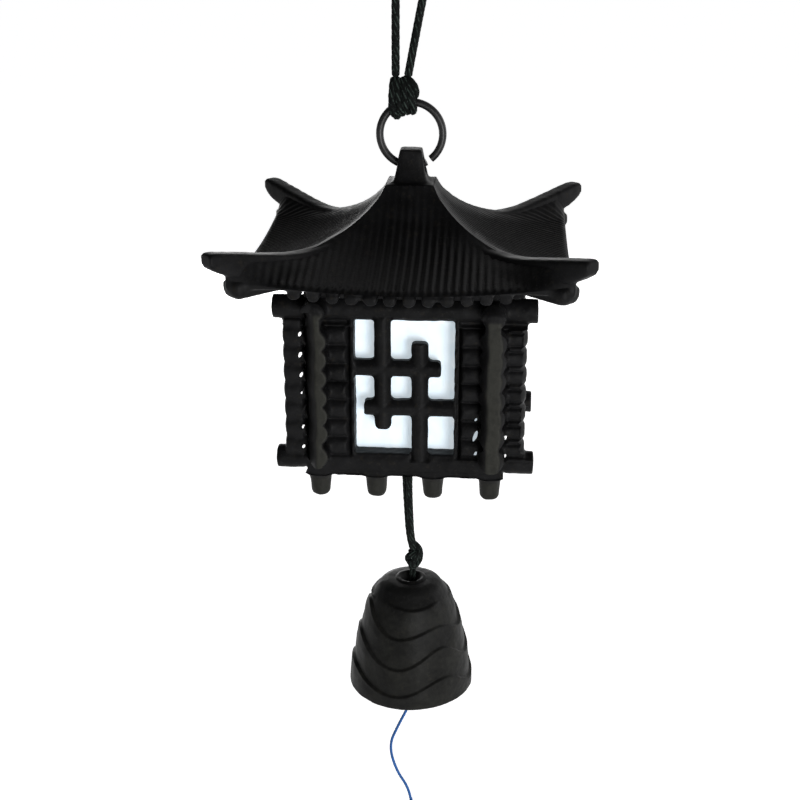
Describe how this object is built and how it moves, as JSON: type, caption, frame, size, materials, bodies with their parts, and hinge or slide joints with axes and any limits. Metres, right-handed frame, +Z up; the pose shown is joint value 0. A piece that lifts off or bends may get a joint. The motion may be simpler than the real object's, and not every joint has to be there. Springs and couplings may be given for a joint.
{
  "type": "wind bell",
  "caption": "Cast-iron furin wind bell: a log-walled lantern house with papered lattice windows under a hipped roof, a bell, clapper and paper wind strip hung below it.",
  "frame": {"origin": "where a hook carries the hanging cord, on the inner top of its loop", "axes": "+Z up along the hanging line, -Y out of the front wall of the house, +X to the viewer's right"},
  "size_m": [0.1032, 0.1032, 0.3761],
  "materials": {
    "iron": "satin black over a grainy casting skin",
    "ring_steel": "black, slightly glossy",
    "screw_steel": "plain",
    "dark_cord": "braided, green-black",
    "blue_thread": "twisted thread",
    "white_paper": "fibrous translucent paper",
    "strip_paper": "plain card, no print"
  },
  "bodies": {
    "hanging": {"hanging_cord": "dark_cord", "hitch_knot": "dark_cord"},
    "ring": {"hanging_ring": "ring_steel"},
    "lantern": {"roof": "iron", "wall_front": "iron", "wall_back": "iron", "wall_left": "iron", "wall_right": "iron", "paper_front": "white_paper", "paper_back": "white_paper", "paper_left": "white_paper", "paper_right": "white_paper", "floor": "iron", "tie_screws": "screw_steel", "anchor_knot": "dark_cord"},
    "bell_line": {"bell_cord": "dark_cord", "bell_knot": "dark_cord"},
    "bell": {"crown_cord": "dark_cord", "stopper_knot": "dark_cord", "bell": "iron"},
    "clapper": {"clapper_thread": "blue_thread", "clapper": "iron", "clapper_knot": "blue_thread"},
    "strip_line": {"strip_thread": "blue_thread"},
    "strip": {"strip_loop": "blue_thread", "wind_strip": "strip_paper"}
  },
  "joints": [
    {"name": "ring_turn", "type": "hinge", "parent": "hanging", "child": "ring", "pos_m": [0, 0, -0.0417], "axis": [0, 1, 0], "range_deg": [-45, 45]},
    {"name": "lantern_swing", "type": "hinge", "parent": "ring", "child": "lantern", "pos_m": [0, 0, -0.0507], "axis": [1, 0, 0], "range_deg": [-60, 60]},
    {"name": "bell_cord_swing", "type": "hinge", "parent": "lantern", "child": "bell_line", "pos_m": [0, 0, -0.1366], "axis": [1, 0, 0], "range_deg": [-45, 45]},
    {"name": "bell_swing", "type": "hinge", "parent": "bell_line", "child": "bell", "pos_m": [0, 0, -0.1801], "axis": [0, 1, 0], "range_deg": [-35, 35]},
    {"name": "clapper_swing", "type": "hinge", "parent": "bell", "child": "clapper", "pos_m": [0, 0, -0.192], "axis": [1, 0, 0], "range_deg": [-26, 26]},
    {"name": "strip_swing", "type": "hinge", "parent": "clapper", "child": "strip_line", "pos_m": [0, 0, -0.2142], "axis": [0, 1, 0], "range_deg": [-30, 30]},
    {"name": "strip_twist", "type": "hinge", "parent": "strip_line", "child": "strip", "pos_m": [0, 0, -0.27], "axis": [0, 0, 1], "continuous": true}
  ]
}
